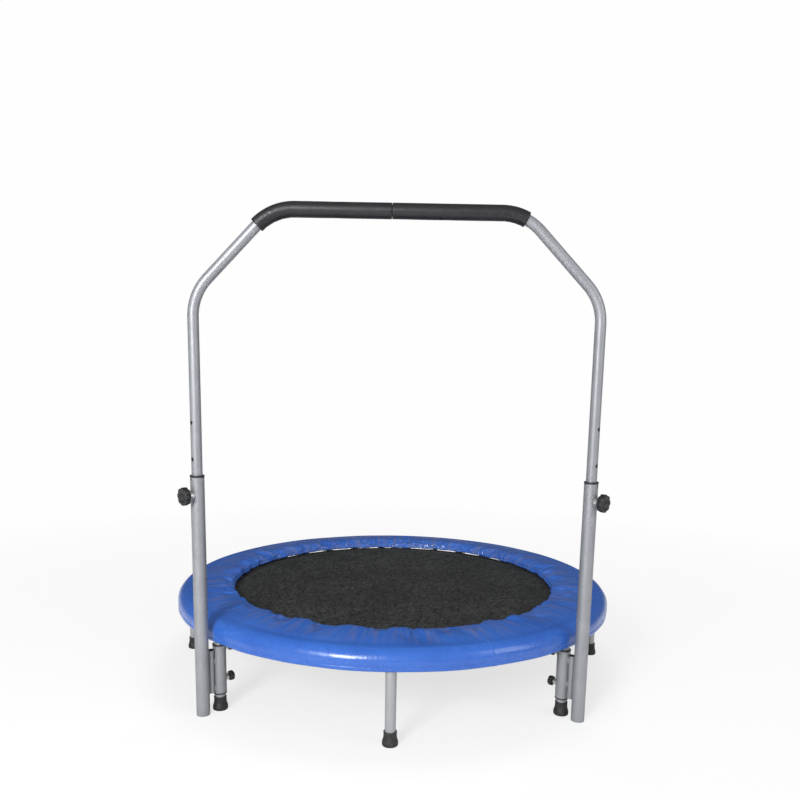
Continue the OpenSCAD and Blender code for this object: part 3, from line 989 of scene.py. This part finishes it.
def spring_line():
    """From the hook round the ring's tip to the hook inside the frame tube, along X."""
    hook = RING_WIRE + SPRING_WIRE + 0.0002
    line = [(ring_tip + hook * math.cos(angle), 0.0, ring_z + hook * math.sin(angle))
            for angle in np.radians(np.linspace(35, 262, 12))]
    line.append((ring_tip + 0.0022, 0.0, ring_z - hook - 0.0001))
    total = COIL_TURNS * TURN_STEPS
    for i in range(total + 1):
        share = i / total
        swell = min(1.0, min(i, total - i) / (0.7 * TURN_STEPS))
        radius = COIL_R * math.sin(max(0.03, swell) * math.pi / 2)
        angle = -math.pi / 2 + i * TAU / TURN_STEPS
        end = 0.0010 * (1 - swell)
        x = coil_in + (coil_out - coil_in) * share - (end if share < 0.5 else -end)
        line.append((x, radius * math.cos(angle), frame_z + radius * math.sin(angle)))
    line.append((coil_out + 0.004, 0, frame_z))
    line += [(tube_wall + x, 0, frame_z + z) for x, z in (
        (-0.006, 0), (0.001, 0), (0.0035, -0.0006), (0.0052, -0.0025), (0.0056, -0.005))]
    return line


one_spring = sweep(spring_line(), SPRING_WIRE, 7)
for number, azimuth in enumerate(spring_azimuths):
    turn = Matrix.Rotation(azimuth, 4, "Z")
    coil = piece(
        f"spring_{number + 1:02d}", *placed(one_spring, turn), "zinc_steel",
        stands_for=("springs",) if number == 0 else ())
    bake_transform(coil)


# ---- handlebar grips ----

_, bar_y, bar_z = middle("bar_joiner")
BAR_R = 0.0105
BEND_R = 0.100
grip_low, grip_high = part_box("foam_grip_left")
GRIP_R = min((grip_high.y - grip_low.y) / 2, 0.0145)


def grip_line(side):
    """The middle line of a grip, from the split outwards and round its bend."""
    low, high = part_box(f"foam_grip_{side}")
    sign = -1 if side == "left" else 1
    split = high.x if side == "left" else low.x
    tip = abs(low.x if side == "left" else high.x)
    drop = bar_z + GRIP_R - low.z
    turn = math.acos(1 - (drop - 2 * GRIP_R) / BEND_R) if drop > 2 * GRIP_R else 0.0
    for _ in range(20):
        reach = BEND_R * (1 - math.cos(turn)) + GRIP_R * math.cos(turn) + GRIP_R
        turn += (drop - reach) / BEND_R
    start_x = tip - (BEND_R + GRIP_R) * math.sin(turn)
    shares = np.arange(0, 1.0001, 1 / 66)
    line = [(split + (sign * start_x - split) * share, bar_y, bar_z) for share in shares]
    for angle in np.linspace(0, turn, 3 + int(turn / 0.03))[1:]:
        drop = BEND_R * (1 - math.cos(angle))
        line.append((sign * (start_x + BEND_R * math.sin(angle)), bar_y, bar_z - drop))
    return np.array(line), turn


def build_grip(side, seed):
    """A foam tube with soft dents, rounded ends and small creases inside its bend."""
    line, turn = grip_line(side)
    lengths = run_of(line)
    rim = np.array([0, 0.0004, 0.0010, 0.0018])
    fine = np.concatenate([rim, np.arange(0.004, lengths[-1] - 0.003, 0.0022), lengths[-1] - rim[::-1]])
    path = along_line(fine, lengths, line)
    end = np.minimum(fine, lengths[-1] - fine)
    sides = 56
    points, _ = sweep(path, 1.0, sides, capped=False)
    points = points.reshape(len(path), sides, 3)
    out = points - path[:, None]
    turned = around(sides)
    draw = np.random.default_rng(seed)
    radius = np.full((len(path), sides), GRIP_R - 0.0001)
    radius -= (0.0010 * (1 - np.clip(end / 0.0018, 0, 1)) ** 2)[:, None]
    for _ in range(14):
        at, facing = draw.uniform(0, lengths[-1]), draw.uniform(0, TAU)
        size, deep = draw.uniform(0.006, 0.022), draw.uniform(0.00008, 0.00028)
        spread = np.exp(-(apart(turned, facing) / 0.7) ** 2)
        radius -= deep * np.exp(-((fine - at) / size) ** 2)[:, None] * spread[None]
    bend_start = lengths[-1] - turn * BEND_R
    under = np.exp(-((out @ np.array([0, 0, 1.0]) + 1) / 0.75) ** 2)
    for k in range(4):
        at = bend_start + turn * BEND_R * (0.12 + 0.24 * k)
        radius -= 0.00042 * (turn > 0.35) * np.exp(-((fine - at) / 0.0016) ** 2)[:, None] * under
    skin = path[:, None] + out * radius[..., None]
    bore = [path[i] + out[i] * (BAR_R + 0.0002) for i in (0, -1)]
    rows = np.concatenate([bore[0][None], skin, bore[1][None]])
    return rows.reshape(-1, 3), grid_faces(len(rows), sides)


for side, seed in (("left", 81), ("right", 82)):
    grip = piece(f"grip_{side}", *build_grip(side, seed), "grip_foam", "handlebar", (f"foam_grip_{side}",))


# ---- knobs, caps, collars and feet ----

def knob_part(depth, radius, lobes, neck_r, neck_reach, stud_r):
    """A moulded lobed knob, from its back at z = 0 to its face at z = depth, with a neck behind it."""
    sides = lobes * 20
    turn = around(sides)
    flute_at, flute_r = radius * 1.2, radius * 0.3
    offset = (turn % (TAU / lobes)) - math.pi / lobes
    inside = flute_r ** 2 - (flute_at * np.sin(offset)) ** 2
    cut = np.where(inside > 0, flute_at * np.cos(offset) - np.sqrt(np.maximum(inside, 0)), radius)
    outline = np.minimum(cut, radius)
    for _ in range(3):
        outline = (np.roll(outline, 1) + 2 * outline + np.roll(outline, -1)) / 4
    bevel = min(0.0011, depth * 0.11)
    low, dish = outline.min(), depth * 0.09
    back = [(stud_r, -neck_reach)]
    if neck_reach:
        back += [(neck_r * 0.92, -neck_reach), (neck_r, -neck_reach + 0.0003), (neck_r, -0.0004)]
    back += [(neck_r + 0.0006, 0.0), (low * 0.86, 0.0)]
    rim = [(bevel, 0.0), (bevel * 0.3, bevel * 0.3), (0, bevel), (-0.00005, depth * 0.5),
           (0, depth - bevel * 1.5), (bevel * 0.35, depth - bevel * 0.5), (bevel * 1.3, depth)]
    face = [(low * 0.80, depth), (low * 0.76, depth - 0.0003), (low * 0.73, depth - dish),
            (low * 0.30, depth - dish), (low * 0.26, depth - depth * 0.05),
            (low * 0.06, depth - depth * 0.04)]
    rows = [round_xy(turn, r, z) for r, z in back]
    rows += [round_xy(turn, outline - inset, z) for inset, z in rim]
    rows += [round_xy(turn, r, z) for r, z in face]
    faces = grid_faces(len(rows), sides) + end_faces(len(rows), sides)[1:]
    return np.array(rows).reshape(-1, 3), faces


def knob_place(node, outward):
    """A matrix on the knob's inner face, on its stud's axis, with Z along outward."""
    centre = middle(node.replace("knob", "stud"))
    reach = [(Vector(v.co) - centre).dot(outward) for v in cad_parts[node].data.vertices]
    depth = max(reach) - min(reach)
    return about(centre + outward * min(reach), outward), depth


# Outer radius, lobes, and the neck's radius, reach and inner radius
HEIGHT_KNOB = (0.0175, 8, 0.0068, 0.0, 0.0040)
CLAMP_KNOB = (0.0100, 5, 0.0046, 0.0032, 0.0031)
for side, azimuth in SIDES.items():
    out = Vector((math.cos(azimuth), math.sin(azimuth), 0))
    spots = [(f"height_knob_{side}", out, HEIGHT_KNOB)]
    spots += [(f"clamp_knob_{level}_{side}", -out, CLAMP_KNOB) for level in ("lower", "upper")]
    for node, direction, shape in spots:
        place, depth = knob_place(node, direction)
        piece(f"{node}_moulded", *placed(knob_part(depth, *shape), place), "black_plastic", node, (node,))

# (radius, height) of a foot, from its sole up and over its lip into the socket
FOOT = [
    (0.0004, 0.0), (0.0128, 0.0), (0.0143, 0.0003), (0.0151, 0.0012), (0.0153, 0.0022),
    (0.0153, 0.0078), (0.0151, 0.0086), (0.0146, 0.0094), (0.0142, 0.0108), (0.0139, 0.0128),
    (0.0136, 0.0138), (0.0131, 0.0144), (0.01295, 0.0160), (0.01280, 0.0180), (0.01265, 0.0210),
    (0.01255, 0.0240), (0.01258, 0.0252), (0.01285, 0.0258), (0.01290, 0.0268), (0.01275, 0.0278),
    (0.01230, 0.0284), (0.01160, 0.0285), (0.01100, 0.0283), (0.01065, 0.0277), (0.01055, 0.0260),
    (0.01055, 0.0200)]
foot_part = lathe(FOOT, 64)
foot_part[1].append(list(range(64))[::-1])
for name in LEGS:
    spot = middle(f"foot_{name}")
    spot.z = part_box(f"foot_{name}")[0].z
    part = placed(foot_part, Matrix.Translation(spot))
    piece(f"foot_{name}_rubber", *part, "foot_rubber", "frame", (f"foot_{name}",))


def soft_ring(inner, outer, height, edge=0.0005):
    """A closed ring with rounded edges, from z = 0 to height."""
    soft = edge * 0.3
    return lathe([
        (inner, 0.0003), (inner + 0.0003, 0.0), (outer - edge, 0.0), (outer - soft, soft), (outer, edge),
        (outer, height - edge), (outer - soft, height - soft), (outer - edge, height),
        (inner + edge, height), (inner + soft, height - soft), (inner, height - edge)], 64, closed=True)


def weld_bead(at, z, length, draw):
    """An upright bead of overlapping scales that thins out at both ends."""
    heights = np.linspace(-length / 2 - 0.0017, length / 2 + 0.0017, 34)
    taper = np.sqrt(np.clip(1 - (np.abs(heights) / (length / 2 + 0.0018)) ** 4, 0.02, 1))
    scales = 0.5 + 0.5 * np.abs(np.sin(heights / 0.0016 * math.pi + draw.uniform(0, 3)))
    path = [(at.x + draw.normal(0, 0.00004), at.y + draw.normal(0, 0.00004), z + h) for h in heights]
    return sweep(path, 0.0020 * taper * (0.84 + 0.16 * scales), 14)


LINK_R = 0.0065
LINK_CAP = [(-0.0017, -0.008), (-0.0016, -0.0002), (-0.0002, 0.0), (-0.0002, 0.0008),
            (-0.0006, 0.0014), (-0.0016, 0.0018), (-0.0035, 0.0020)]
INNER_BEADS = {"left": (0.050, 0.105), "right": (0.070, 0.120)}
OUTER_BEADS = (0.052, 0.118)
sleeve_low, sleeve_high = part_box("clamp_sleeve_left")
sleeve_r = (sleeve_high.x - sleeve_low.x) / 2
collar_low, collar_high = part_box("sleeve_collars")
link_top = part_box("link_tubes")[1].z
collar = soft_ring(BAR_R + 0.0003, sleeve_r + 0.0004, collar_high.z - sleeve_high.z)
link_cap = lathe([(LINK_R + inset, z) for inset, z in LINK_CAP] + [(0.0004, 0.0020)], 48)
link_cap[1].extend(end_faces(8, 48)[::-1])
collars, link_caps, welds = [], [], []
for side, azimuth in SIDES.items():
    out = Vector((math.cos(azimuth), math.sin(azimuth), 0))
    across = Vector((-out.y, out.x, 0))
    sleeve, post = middle(f"clamp_sleeve_{side}"), middle(f"post_{side}")
    link = (sleeve + post) / 2
    for z in (collar_low.z, sleeve_high.z):
        collars.append(placed(collar, Matrix.Translation((sleeve.x, sleeve.y, z))))
    link_caps.append(placed(link_cap, Matrix.Translation((link.x, link.y, link_top))))
    front = 1 if side == "left" else -1
    seam_r = sleeve.xy.length + sleeve_r
    beads = [(seam_r - 0.0004, front, z, 0.008) for z in INNER_BEADS[side]]
    beads += [(seam_r + 2 * LINK_R + 0.0004, -front, z, 0.010) for z in OUTER_BEADS]
    draw = np.random.default_rng(91 + front)
    for reach, way, z, length in beads:
        welds.append(weld_bead(out * reach + across * (0.0034 * way), z, length, draw))
piece("sleeve_collars_moulded", *joined(collars), "black_plastic", "frame", ("sleeve_collars",))
piece("link_caps_moulded", *joined(link_caps), "black_plastic", "frame", ("link_caps",))
piece("bracket_weld_beads", *joined(welds), "frame_paint", "frame", ("bracket_welds",))


# ---- floor, light and camera ----

BACKGROUND = 0.99


def floor_look():
    """White paper that glows a little, and fully where it meets the white background."""
    s = Surface("studio_floor", Roughness=0.9, Specular_IOR_Level=0.1)
    s.colour(s.cloud(1.2, 2), (0.90, 0.90, 0.90), (0.885, 0.885, 0.885))
    x, y = s.parts()
    radius = s.length(x, y)
    glow = s.add("Emission", {"Strength": BACKGROUND}).outputs[0]
    straight = s.add("LightPath").outputs["Is Camera Ray"]
    share = s.sums("MULTIPLY", straight, s.span(radius, 0.72, 1.0, 0.6, 2.2))
    blend = s.add("MixShader", {0: share, 1: s.shader.outputs[0], 2: glow})
    s.feed(s.tree.nodes["Material Output"].inputs["Surface"], blend.outputs[0])
    return s.material


def build_floor():
    points, faces = lathe([(0.4, 0.0), (4.0, 0.0), (8.0, 0.0), (60.0, 0.0)], 64)
    faces.append(list(range(64))[::-1])
    mesh = bpy.data.meshes.new("studio_floor")
    mesh.from_pydata(points.tolist(), [], faces)
    mesh.materials.append(floor_look())
    floor = bpy.data.objects.new("studio_floor", mesh)
    bpy.context.scene.collection.objects.link(floor)


build_floor()


def softbox(name, place, target, size, power, colour=(1, 1, 1), mirrored=True):
    light = bpy.data.lights.new(name, "AREA")
    light.shape = "RECTANGLE"
    light.size, light.size_y = size
    light.energy = power
    light.color = colour
    lamp = bpy.data.objects.new(name, light)
    bpy.context.scene.collection.objects.link(lamp)
    lamp.location = place
    lamp.rotation_euler = (Vector(target) - Vector(place)).to_track_quat("-Z", "Y").to_euler()
    lamp.visible_glossy = mirrored


softbox("key_light", (-1.15, -2.8, 1.5), (0, -0.1, 0.25), (0.8, 0.8), 80)
softbox("top_light", (0.3, 0.9, 3.0), (0, 0, 0.2), (1.6, 1.4), 35, (1.0, 0.95, 0.89), mirrored=False)
softbox("fill_light", (2.4, -1.6, 1.5), (0, 0, 0.4), (1.0, 1.6), 16)

world = bpy.data.worlds.new("studio_air")
bpy.context.scene.world = world
world.use_nodes = True
tree = world.node_tree
air = tree.nodes["Background"]
seen = tree.nodes.new("ShaderNodeBackground")
path_node = tree.nodes.new("ShaderNodeLightPath")
either = tree.nodes.new("ShaderNodeMixShader")
way = tree.nodes.new("ShaderNodeSeparateXYZ")
tree.links.new(tree.nodes.new("ShaderNodeTexCoord").outputs["Generated"], way.inputs[0])
facing = tree.nodes.new("ShaderNodeMapRange")
for key, number in (("From Min", -0.9), ("From Max", 0.9), ("To Min", 0.70), ("To Max", 0.08)):
    facing.inputs[key].default_value = number
tree.links.new(way.outputs[1], facing.inputs["Value"])
air.inputs["Color"].default_value = (0.95, 0.97, 1.0, 1)
tree.links.new(facing.outputs[0], air.inputs["Strength"])
seen.inputs["Color"].default_value = (1, 1, 1, 1)
seen.inputs["Strength"].default_value = BACKGROUND
tree.links.new(path_node.outputs["Is Camera Ray"], either.inputs[0])
tree.links.new(air.outputs[0], either.inputs[1])
tree.links.new(seen.outputs[0], either.inputs[2])
tree.links.new(either.outputs[0], tree.nodes["World Output"].inputs["Surface"])
bpy.context.scene.view_settings.view_transform = "Standard"


def make_camera():
    """The photograph's angle: eye height, a little down, nearly square on."""
    pitch, yaw, roll = math.radians(9.4), math.radians(0.25), math.radians(1.0)
    ahead = Vector((math.sin(yaw) * math.cos(pitch), math.cos(yaw) * math.cos(pitch), -math.sin(pitch)))
    right = Vector((math.cos(yaw), -math.sin(yaw), 0))
    up = right.cross(ahead)
    x = math.cos(roll) * right + math.sin(roll) * up
    y = -math.sin(roll) * right + math.cos(roll) * up
    data = bpy.data.cameras.new("camera")
    data.lens, data.sensor_width = 34.342, 36.0
    data.shift_y = 0.125
    camera = bpy.data.objects.new("camera", data)
    bpy.context.scene.collection.objects.link(camera)
    turn = Matrix((x, y, -ahead)).transposed().to_4x4()
    camera.matrix_world = Matrix.Translation((0.005, -1.8403, 0.6896)) @ turn
    bpy.context.scene.camera = camera


make_camera()
